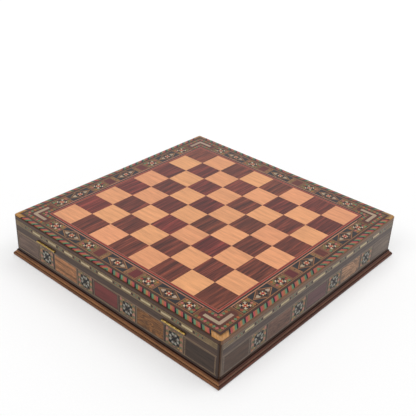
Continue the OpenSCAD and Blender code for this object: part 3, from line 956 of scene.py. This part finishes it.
def corner_chip_mesh():
    """Satinwood corner of the border, its outer edge rounded with the board's."""
    mesh = Mesh()
    inner = [(ROPE_IN, -END_S), (ROPE_IN, -ROPE_IN), (END_S, -ROPE_IN)]
    steps = 6
    for k in range(4):
        rot = side_matrix(k)

        def path(e):
            s = END_S + B - e - ROPE_IN
            pts = [(s, -B + e)]
            for i in range(13):
                a = math.radians(-90 + 90 * i / 12)
                pts.append((B - ARC + (ARC - e) * math.cos(a), -B + ARC + (ARC - e) * math.sin(a)))
            pts.append((B - e, -s))
            return pts

        def outward(i, a):
            if i == 0:
                h = Vector((0, -1, 0))
            elif i == 14:
                h = Vector((1, 0, 0))
            else:
                b = math.radians(-90 + 90 * (i - 1) / 12)
                h = Vector((math.cos(b), math.sin(b), 0))
            return rot @ (h * math.sin(a) + Vector((0, 0, 1)) * math.cos(a))

        rows = []
        for j in range(steps + 1):
            a = CHIP_A * j / steps
            e = EDGE_R * (1 - math.sin(a))
            z = TOP - EDGE_R + EDGE_R * math.cos(a)
            rows.append((mesh.add([rot @ Vector((x, y, z)) for x, y in path(e)]), a))
        n = 15
        top_in = mesh.add([rot @ Vector((x, y, TOP)) for x, y in inner])
        low_in = mesh.add([rot @ Vector((x, y, TOP - ROPE_T)) for x, y in inner])
        off = RNG.uniform(0, 500)
        tint = (RNG.random(), RNG.random())

        def uv(c):
            p = rot.inverted() @ mesh.co[c]
            return ((p.x - p.y) * 0.707 + off, (p.x + p.y) * 0.707)

        def put(cs, nor=None):
            mesh.face(cs, "satinwood", nor, [uv(c) for c in cs], tint)

        b0 = rows[0][0]
        up = rot @ Vector((0, 0, 1))
        # The top, in two quads beside the corner and a fan round it
        put([b0 + 0, b0 + 1, top_in + 1, top_in + 2], [up] * 4)
        put([b0 + 13, b0 + 14, top_in + 0, top_in + 1], [up] * 4)
        fan = [top_in + 1] + [b0 + i for i in range(1, 14)]
        put(fan, [up] * len(fan))
        for (r0_, a0), (r1_, a1) in zip(rows, rows[1:]):
            for i in range(n - 1):
                put(
                    [r0_ + i, r1_ + i, r1_ + i + 1, r0_ + i + 1],
                    [outward(i, a0), outward(i, a1), outward(i + 1, a1), outward(i + 1, a0)],
                )
        low = rows[-1][0]
        put([top_in + 1, low_in + 1, low_in + 2, top_in + 2][::-1])
        put([top_in + 0, low_in + 0, low_in + 1, top_in + 1][::-1])
        put([top_in + 2, low_in + 2] + [r + 0 for r, _ in rows[::-1]])
        put([low_in + 0, top_in + 0] + [r + 14 for r, _ in rows])
        put([low_in + 2, low_in + 1, low + 1, low + 0])
        put([low_in + 1, low_in + 0, low + 14, low + 13])
        put(([low_in + 1] + [low + i for i in range(13, 0, -1)]))
    return mesh


corner_chip_mesh().build("corner_blocks", "case", ["corner_chips"], "satinwood")

# ------------------------------------------------------------------ walls and drawer fronts

PZ = 31.0  # middle of the wall's panels


def wall_art(z0, z1, end_u, tag, slots_too):
    """tag chooses the veneers: empty for a drawer front, _s for a side."""
    art = Art()
    g = "ground"

    def w(name):
        return name + tag

    art.rect(-end_u, end_u, z0, z1, w("foot"), g)
    e = 195.6
    for a, b, m in (
        (63.5, min(z1, 64.3), "edge_line"),
        (56.7, 63.5, "olive"),
        (56.0, 56.7, "edge_line"),
        (46.3, 56.0, "band"),
        (44.2, 46.3, "line"),
        (17.5, 44.2, "panel"),
        (15.4, 17.5, "line"),
    ):
        art.rect(-e, e, a, b, w(m), g)
    for x in (-1, 1):
        art.rect(min(x * e, x * end_u), max(x * e, x * end_u), 15.4, z1, w("post"), g, 90)
        art.rect(min(x * 198.3, x * end_u), max(x * 198.3, x * end_u), z0, z1, "wall_black", g, 90)
    # Dashes of bone, with dots and lozenges between them
    zc = 60.0
    spots = [(0.0, 14.2)] + [(x * s * SQ, 8.9) for s in (1.01, 1.9, 2.795, 3.68) for x in (-1, 1)]
    spots.sort()
    for c, h in spots:
        art.rect(c - h, c + h, zc - 2.0, zc + 2.0, "dash", "dash")
        art.rect(c - h + 0.3, c + h - 0.3, zc - 1.45, zc + 1.45, "dash_mid", "dash")
        for x in (-1, 1):
            art.ngon(c + x * (h + 2.3), zc, 1.9, 8, "wall_black", g, math.pi / 8)
            art.ngon(c + x * (h + 2.3), zc, 0.5, 8, "brick", g, math.pi / 8)
    gaps = [((a[0] + a[1]) + (b[0] - b[1])) / 2 for a, b in zip(spots, spots[1:])]
    gaps += [-165.3, 165.3]
    for c in gaps:
        half = 4.6 if abs(c) > 30 else 4.0
        art.add([(c - half, zc), (c - half + 1.6, zc - 1.8), (c + half - 1.6, zc - 1.8), (c + half, zc), (c + half - 1.6, zc + 1.8), (c - half + 1.6, zc + 1.8)], "wall_green", g)
        art.ngon(c, zc, 1.5, 4, "brick", g)
    for x in (-1, 1):
        art.ngon(x * 172.4, zc, 1.5, 8, "star_black", g, math.pi / 8)
        art.add([(x * 176.0, zc), (x * 177.6, zc - 1.8), (x * 186.4, zc - 1.8), (x * 188.0, zc), (x * 186.4, zc + 1.8), (x * 177.6, zc + 1.8)], "lozenge", g)
    # Red panel in the middle
    art.rect(-24.4, 24.4, 17.5, 44.2, w("line"), g, 90)
    art.rect(-23.4, 23.4, 18.5, 43.4, "wall_dark", g, 90)
    art.rect(-22.4, 22.4, PZ - 11.5, PZ + 11.5, w("panel_red"), "red")
    for x in (-1, 1):

        def box(s0, s1, t0, t1, mat, piece=g, angle=0.0):
            art.rect(min(x * s0, x * s1), max(x * s0, x * s1), t0, t1, mat, piece, angle)

        for s0, s1, m in (
            (26.4, 27.9, "wall_dark"),
            (56.5, 57.9, "wall_dark"),
            (57.9, 60.0, w("line")),
            (108.3, 109.4, w("line")),
            (109.4, 112.1, "wall_dark"),
            (140.7, 142.3, w("line")),
            (142.3, 143.6, "wall_dark"),
        ):
            box(s0, s1, 17.5, 44.2, m, angle=90)
        # Star panels
        a = ["salmon", "wall_moss", "wall_orange", "wall_green", "salmon", "wall_moss"]
        b = ["wall_green", "wall_orange", "wall_moss", "salmon", "wall_green", "wall_orange"]
        for c in (42.2, 126.4):
            art.rect(x * c - 14.3, x * c + 14.3, 17.5, 44.2, w("panel_mid"), g)
            column(art, g, x * (c - 12.0), 2.3, 17.6, 44.1, a, ["lozenge", "salmon"])
            column(art, g, x * (c + 12.0), 2.3, 17.6, 44.1, b, ["salmon", "lozenge"])
            tile = "star"
            art.rect(x * c - 9.7, x * c + 9.7, 18.4, 43.4, w("panel_mid"), tile, 90)
            for p in (-1, 1):
                for q in (-1, 1):
                    cx, cy = x * c + p * 9.7, PZ + q * 12.4
                    art.add([(cx, cy), (cx - p * 6.6, cy), (cx, cy - q * 6.6)], "wall_moss", tile, 45)
                    art.add([(cx - p * 0.8, cy - q * 0.8), (cx - p * 4.4, cy - q * 0.8), (cx - p * 0.8, cy - q * 4.4)], "wall_orange", tile, 45)
                lozenge(art, tile, x * c, PZ + p * 11.6, 2.2, 0.8, "salmon")
            star(art, tile, x * c, PZ, 10.4, "wall_black", ("star_drab", "wall_black"), "star_grey", ("star_green", "wall_black"))
            # The black diagonals run right across the star, to a black square in each corner
            for p in (-1, 1):
                for q in (-1, 1):
                    art.ngon(x * c + p * 7.2, PZ + q * 7.2, 2.3, 4, "wall_black", tile, math.pi / 4)
            for p in (-1, 1):
                q, h = 6.6, 0.75
                art.add([(x * c - q - h, PZ - p * (q - h)), (x * c - q + h, PZ - p * (q + h)), (x * c + q + h, PZ + p * (q - h)), (x * c + q - h, PZ + p * (q + h))], "wall_black", tile, 45)
        # Burl panel: one is straighter in the grain than the other; the one at the s > 0 end of a drawer front and the
        # s < 0 end of a side is darker, painted shade.
        box(60.0, 108.3, 17.5, 44.2, w("panel"))
        box(60.7, 107.6, 18.0, 44.0, w("burl_b") if x > 0 else w("burl_a"), "burl")
        # End panel: a frame line round darker wood; the panel at the s > 0 end of a drawer front and the s < 0 end of a
        # side is darker again, painted shade.
        box(143.6, 194.3, 15.4, 45.2, w("line"))
        box(145.2, 192.7, 17.4, 43.3, w("panel"))
        box(146.4, 191.6, 18.8, 42.4, w("end_b") if x > 0 else w("end_a"))
    if slots_too:
        for c in (-125.5, 125.5):
            art.rect(c - 20.2, c + 20.2, 47.7, 51.2, None, None)
    for i in range(6):
        u = B - ARC + (end_u - B + ARC) * i / 5
        if u < end_u - 1e-6:
            for x in (-1, 1):
                art.edges.append(((x * u, z0), (x * u, z1)))
    return art


def on_wall(u, z):
    x = abs(u)
    if x <= B - ARC:
        return (u, -B, z), (u, -B + V, z), (0, -1, 0)
    a = (x - (B - ARC)) / ARC
    sign = 1 if u > 0 else -1
    sa, ca = math.sin(a), math.cos(a)
    c = B - ARC
    return (
        (sign * (c + ARC * sa), -(c + ARC * ca), z),
        (sign * (c + (ARC - V) * sa), -(c + (ARC - V) * ca), z),
        (sign * sa, -ca, 0),
    )


FRONT_END = B - ARC + ARC * (math.pi / 4 - math.asin(0.8 / ARC / math.sqrt(2)))
SIDE_END = B - ARC + ARC * math.pi / 4
WALL_PIECES = {"dash": "dashes", "red": "red_panel", "burl": "burl_panels", "star": "rosettes"}
WALL_SLOTS = {"ground": "walnut", "dash": "bone_inlay", "red": "red_veneer", "burl": "burl", "star": "star_mosaic"}

for which, k in (("front", 0), ("back", 2)):
    slabs(
        wall_art(12.2, 64.2, FRONT_END, "", True),
        on_wall,
        [k],
        {"ground": f"{which}_face", "dash": f"{which}_bone_dashes", "red": f"{which}_red_tile", "burl": f"{which}_burl_tiles", "star": f"{which}_stars"},
        f"{which}_drawer",
        False,
        {"ground": [f"{which}_veneer"], **{p: [f"{which}_{n}"] for p, n in WALL_PIECES.items()}},
        WALL_SLOTS,
    )
sides = slabs(
    wall_art(11.6, 65.0, SIDE_END, "_s", False),
    on_wall,
    [1, 3],
    {"ground": "side_faces", "dash": "side_bone_dashes", "red": "side_red_tiles", "burl": "side_burl_tiles", "star": "side_stars"},
    "case",
    False,
    {
        "ground": ["side_veneers"],
        "dash": ["side_dashes"],
        "red": ["side_red_panels"],
        "burl": ["side_burl_panels"],
        "star": ["side_rosettes"],
    },
    WALL_SLOTS,
)

# ------------------------------------------------------------------ base moulding


def arc(cx, cz, rx, rz, a0, a1, n):
    return [
        (cx + rx * math.cos(math.radians(a0 + (a1 - a0) * i / n)), cz + rz * math.sin(math.radians(a0 + (a1 - a0) * i / n)))
        for i in range(n + 1)
    ]


def rail_profile():
    """Section of a base rail, anticlockwise: (distance from the middle, height)."""
    z, m = 1.0, 4.5
    foot = arc(B + m - 0.5, z + 0.5, 0.5, 0.5, -90, 0, 5)
    nose = arc(B + m - 2.0, z + 2.6, 2.0, 2.0, 0, 58, 10)
    lip = arc(B + m - 2.0, z + 5.2, 0.45, 0.45, -10, 100, 5)
    cove = arc(B + m - 1.6, z + 9.0, m - 2.1, 3.4, 262, 188, 14)
    head = arc(B + 0.15, z + 9.1, 0.3, 0.3, 10, 90, 4)
    runs = [
        [(B - 15, z)],
        foot,
        nose,
        lip,
        cove,
        head,
        [(B - 1, z + 9.4)],
        [(B - 1, 11.6)],
        [(B - 9, 11.6)],
        [(B - 9, 7.6)],
        [(B - 15, 7.6)],
    ]
    pts = []
    for r in runs:
        pts += r
    return pts


def rail_mesh(k):
    """One rail with mitred ends, the grain along it."""
    mesh = Mesh()
    mat = "moulding_side" if k % 2 else "moulding"

    def finish(r, z):
        """The material of a strip of the moulding, by its place in the section."""
        # Painted shade: the groove under the lip, the cove's top, the bottom edge and the hidden faces behind get the
        # dark copy.
        if r < B or z < 1.4 or z > 9.4 or 5.36 < z < 6.05:
            return "moulding_painted_shade"
        # Painted highlight: the lip strip gets the light copy.
        return mat + "_lip" if 6.05 < z < 7.4 else mat

    rot = side_matrix(k)
    prof = rail_profile()
    n = len(prof)
    left = mesh.add([rot @ Vector((-r, -r, z)) for r, z in prof])
    right = mesh.add([rot @ Vector((r, -r, z)) for r, z in prof])
    # Normals of the section's edges, averaged where the turn is slight
    edge_n = []
    for i in range(n):
        (r0, z0), (r1, z1) = prof[i], prof[(i + 1) % n]
        d = math.hypot(r1 - r0, z1 - z0)
        edge_n.append(((z1 - z0) / d, -(r1 - r0) / d))
    off = RNG.uniform(0, 900)
    along = 0.0
    tint = (RNG.random(), RNG.random())
    for i in range(n):
        j = (i + 1) % n
        d = math.hypot(prof[j][0] - prof[i][0], prof[j][1] - prof[i][1])

        def nor(a, b):
            if a[0] * b[0] + a[1] * b[1] > 0.85:
                v = Vector((0, -(a[0] + b[0]), a[1] + b[1])).normalized()
            else:
                v = Vector((0, -b[0], b[1]))
            return rot @ v

        n0 = nor(edge_n[i - 1], edge_n[i])
        n1 = nor(edge_n[j], edge_n[i])
        mesh.face(
            [left + i, right + i, right + j, left + j],
            finish((prof[i][0] + prof[j][0]) / 2, (prof[i][1] + prof[j][1]) / 2),
            [n0, n0, n1, n1],
            [(-prof[i][0] + off, along), (prof[i][0] + off, along), (prof[j][0] + off, along + d), (-prof[j][0] + off, along + d)],
            tint,
        )
        along += d
    mesh.face([left + i for i in range(n)], mat, None, [(p[0] + off, p[1]) for p in prof], tint)
    mesh.face([right + i for i in range(n)][::-1], mat, None, [(p[0] + off, p[1]) for p in prof][::-1], tint)
    return mesh


for k, which in enumerate(("front", "right", "back", "left")):
    rail_mesh(k).build(f"{which}_moulding", "case", [f"{which}_base_rail"], "moulding_walnut")

# ------------------------------------------------------------------ brass pulls


def revolve(mesh, profile, centre, mat, seg=48, k=0):
    """A closed shape turned about an axis along s: profile is (x, radius) from one end to the other."""
    rot = side_matrix(k)
    rings = []
    for x, r in profile:
        rings.append(
            mesh.add(
                [
                    rot @ Vector((centre[0] + x, centre[1] + r * math.cos(2 * math.pi * i / seg), centre[2] + r * math.sin(2 * math.pi * i / seg)))
                    for i in range(seg)
                ]
            )
        )
    m = len(profile)
    seg_n = []
    for (x0, r0), (x1, r1) in zip(profile, profile[1:]):
        d = math.hypot(x1 - x0, r1 - r0)
        seg_n.append((-(r1 - r0) / d, (x1 - x0) / d))
    for j in range(m - 1):
        for i in range(seg):
            i2 = (i + 1) % seg

            def nor(q, idx):
                a = seg_n[j]
                o = seg_n[j - 1] if q == 0 else seg_n[j + 1] if j + 1 < len(seg_n) else a
                if q == 0 and j == 0:
                    o = a
                if a[0] * o[0] + a[1] * o[1] > 0.6:
                    nx, nr = a[0] + o[0], a[1] + o[1]
                else:
                    nx, nr = a
                ang = 2 * math.pi * idx / seg
                return rot @ Vector((nx, nr * math.cos(ang), nr * math.sin(ang))).normalized()

            mesh.face(
                [rings[j] + i, rings[j] + i2, rings[j + 1] + i2, rings[j + 1] + i],
                mat,
                [nor(0, i), nor(0, i2), nor(1, i2), nor(1, i)],
            )
    ex = rot @ Vector((1, 0, 0))
    mesh.face([rings[0] + i for i in range(seg)][::-1], mat, [-ex] * seg)
    mesh.face([rings[-1] + i for i in range(seg)], mat, [ex] * seg)


def block(mesh, lo, hi, mat, k=0, c=0.12):
    """A box with small bevels."""
    rot = side_matrix(k)
    corners = {}
    for sx in (0, 1):
        for sy in (0, 1):
            for sz in (0, 1):
                p = [hi[i] if q else lo[i] for i, q in enumerate((sx, sy, sz))]
                d = [-1 if q else 1 for q in (sx, sy, sz)]
                for ax in range(3):
                    v = [p[i] + (0 if i == ax else d[i] * c) for i in range(3)]
                    corners[sx, sy, sz, ax] = mesh.add([rot @ Vector(v)])

    def quad(ids):
        pts = [mesh.co[i] for i in ids]
        mid = sum(pts, Vector()) / len(pts)
        centre = rot @ Vector([(lo[i] + hi[i]) / 2 for i in range(3)])
        nor = (pts[1] - pts[0]).cross(pts[2] - pts[0])
        if nor.dot(mid - centre) < 0:
            ids = ids[::-1]
        mesh.face(ids, mat)

    for ax in range(3):
        a, b = [i for i in range(3) if i != ax]
        for side in (0, 1):
            ring = []
            for qa, qb in ((0, 0), (1, 0), (1, 1), (0, 1)):
                key = [0, 0, 0]
                key[ax], key[a], key[b] = side, qa, qb
                ring.append(corners[(*key, ax)])
            quad(ring)
    for a, b in ((0, 1), (0, 2), (1, 2)):
        c_ax = 3 - a - b
        for qa in (0, 1):
            for qb in (0, 1):
                ring = []
                for qc, ax in ((0, a), (0, b), (1, b), (1, a)):
                    key = [0, 0, 0]
                    key[a], key[b], key[c_ax] = qa, qb, qc
                    ring.append(corners[(*key, ax)])
                quad(ring)
    for sx in (0, 1):
        for sy in (0, 1):
            for sz in (0, 1):
                quad([corners[sx, sy, sz, ax] for ax in range(3)])


def pull_mesh(k):
    mesh, pins = Mesh(), Mesh()
    r, length, z, y = 1.6, 40.0, 49.5, -B - 0.9
    kn = length / 5
    for x in (-125.5, 125.5):
        for i in range(5):
            x0 = -length / 2 + i * kn + 0.2
            x1 = x0 + kn - 0.4
            e = 0.3
            prof = [(x0, r - e)] + [(x0 + e - e * math.cos(a), r - e + e * math.sin(a)) for a in (0.4, 0.8, 1.2, math.pi / 2)]
            prof += [(2 * (x0 + x1) / 2 - p[0], p[1]) for p in prof[::-1]]
            revolve(mesh, prof, (x, y, z), "brass", 48, k)
            up = i % 2 == 0
            lo = z + 0.1 if up else z - 1.0
            block(mesh, (x + x0, y + r - 0.5, lo), (x + x1, y + r + 0.6, lo + 0.9), "brass", k, 0.1)
        for lo in (z + 0.1, z - 1.0):
            block(mesh, (x - 20, y + r + 0.3, lo), (x + 20, y + r + 9.3, lo + 0.9), "brass", k, 0.1)
        prof = [(-20.1, 0.4), (-20.08, 0.56), (-20.02, 0.7), (-19.9, 0.8), (19.9, 0.8), (20.02, 0.7), (20.08, 0.56), (20.1, 0.4)]
        revolve(pins, prof, (x, y, z), "brass", 32, k)
    return mesh, pins


for which, k in (("front", 0), ("back", 2)):
    a, b = pull_mesh(k)
    a.build(f"{which}_brass_pulls", f"{which}_drawer", [f"{which}_pulls"], "brass")
    b.build(f"{which}_brass_pins", f"{which}_drawer", [f"{which}_pull_pins"], "brass")

# ------------------------------------------------------------------ the frame's own pieces


def paint(node, mat):
    o = NODE[node]
    o.data.materials.clear()
    o.data.materials.append(M[mat])


for node, mat in {
    "board_core": "core",
    "edge_lipping": "lipping",
    "light_squares": "light_sq",
    "dark_squares": "dark_sq",
    "red_stringing": "red_rings",
    "light_stringing": "light_ring",
    "left_wall": "wall_side",
    "right_wall": "wall_side",
    "partition": "core",
    "base_panel": "ply",
    "drawer_runners": "beech_y",
    "drawer_kickers": "beech_y",
    "drawer_stops": "beech_x",
    "felt_feet": "felt_black",
    "base_screws": "steel",
}.items():
    paint(node, mat)
for d in ("front", "back"):
    for part, mat in {
        "drawer_front": "wall_front",
        "drawer_sides": "beech_y",
        "drawer_back": "beech_x",
        "drawer_bottom": "ply",
        "drawer_felt": "felt_green",
        "row_divider": "divider_x",
        "cell_dividers": "divider_y",
    }.items():
        paint(f"{d}_{part}", mat)

# ------------------------------------------------------------------ floor, light, camera


def floor_material():
    t = Tree("floor_paper")
    o = t.vmaths("SCALE", t.node("TexCoord").outputs["Object"], scale=1000.0)
    n = t.noise(t.scaled(o, 0.4, 0.4, 0.4), 3.0)
    colour = t.ramp(n, [(0.3, (0.61, 0.61, 0.61, 1)), (0.7, (0.63, 0.63, 0.63, 1))])
    return t.set(base=colour, rough=0.9, spec=0.1, glow=(1.0, 1.0, 1.0, 1.0), glow_by=0.36)


bm_floor = bpy.data.meshes.new("floor")
bm_floor.from_pydata([(-4, -4, 0), (4, -4, 0), (4, 4, 0), (-4, 4, 0)], [], [(0, 1, 2, 3)])
floor = bpy.data.objects.new("floor", bm_floor)
bm_floor.materials.append(floor_material())
bpy.context.scene.collection.objects.link(floor)

world = bpy.data.worlds.new("studio")
world.use_nodes = True
world.node_tree.nodes["Background"].inputs[0].default_value = (1.0, 1.0, 1.0, 1.0)
world.node_tree.nodes["Background"].inputs[1].default_value = 0.3
bpy.context.scene.world = world


def area(name, where, at, size, power, colour=(1, 1, 1)):
    d = bpy.data.lights.new(name, "AREA")
    d.shape = "RECTANGLE"
    d.size, d.size_y = size
    d.energy = power
    d.color = colour
    o = bpy.data.objects.new(name, d)
    o.location = where
    o.rotation_mode = "QUATERNION"
    o.rotation_quaternion = (Vector(at) - Vector(where)).to_track_quat("-Z", "Y")
    bpy.context.scene.collection.objects.link(o)
    return o


def sun(name, power, spread, lean, azimuth):
    """A broad light that leans from the vertical towards the azimuth (0 is behind the box, 90 at its left)."""
    d = bpy.data.lights.new(name, "SUN")
    d.energy = power
    d.angle = math.radians(spread)
    o = bpy.data.objects.new(name, d)
    o.rotation_euler = (math.radians(-lean), 0, math.radians(azimuth))
    bpy.context.scene.collection.objects.link(o)


sun("overhead", 1.4, 70, 8, -45)
sun("side_light", 0.4, 40, 48, -40)
sun("front_light", 0.8, 30, 45, 172)
area("back_light", (-1.5, 1.7, 1.25), (0, 0, 0.05), (2.8, 1.8), 5.0)

CAM_AZ, CAM_EL, CAM_ROLL = math.radians(40.662), math.radians(30.100), math.radians(2.527)
cam_data = bpy.data.cameras.new("camera")
cam_data.sensor_width = 36.0
cam_data.lens = 721.8 / 416 * 36.0
cam = bpy.data.objects.new("camera", cam_data)
back = Vector((math.sin(CAM_AZ) * math.cos(CAM_EL), -math.cos(CAM_AZ) * math.cos(CAM_EL), math.sin(CAM_EL)))
right = Vector((0, 0, 1)).cross(back).normalized()
up = back.cross(right)
cx = right * math.cos(CAM_ROLL) + up * math.sin(CAM_ROLL)
cy = -right * math.sin(CAM_ROLL) + up * math.cos(CAM_ROLL)
cam.matrix_world = Matrix((
    (cx.x, cy.x, back.x, 0), (cx.y, cy.y, back.y, 0), (cx.z, cy.z, back.z, 0), (0, 0, 0, 1)
))
cam.location = Vector((-0.012558, 0.014312, 0.072)) + back * 1.085578
bpy.context.scene.collection.objects.link(cam)
bpy.context.scene.camera = cam

bpy.context.scene.view_settings.view_transform = "Standard"
bpy.context.scene.view_settings.look = "None"
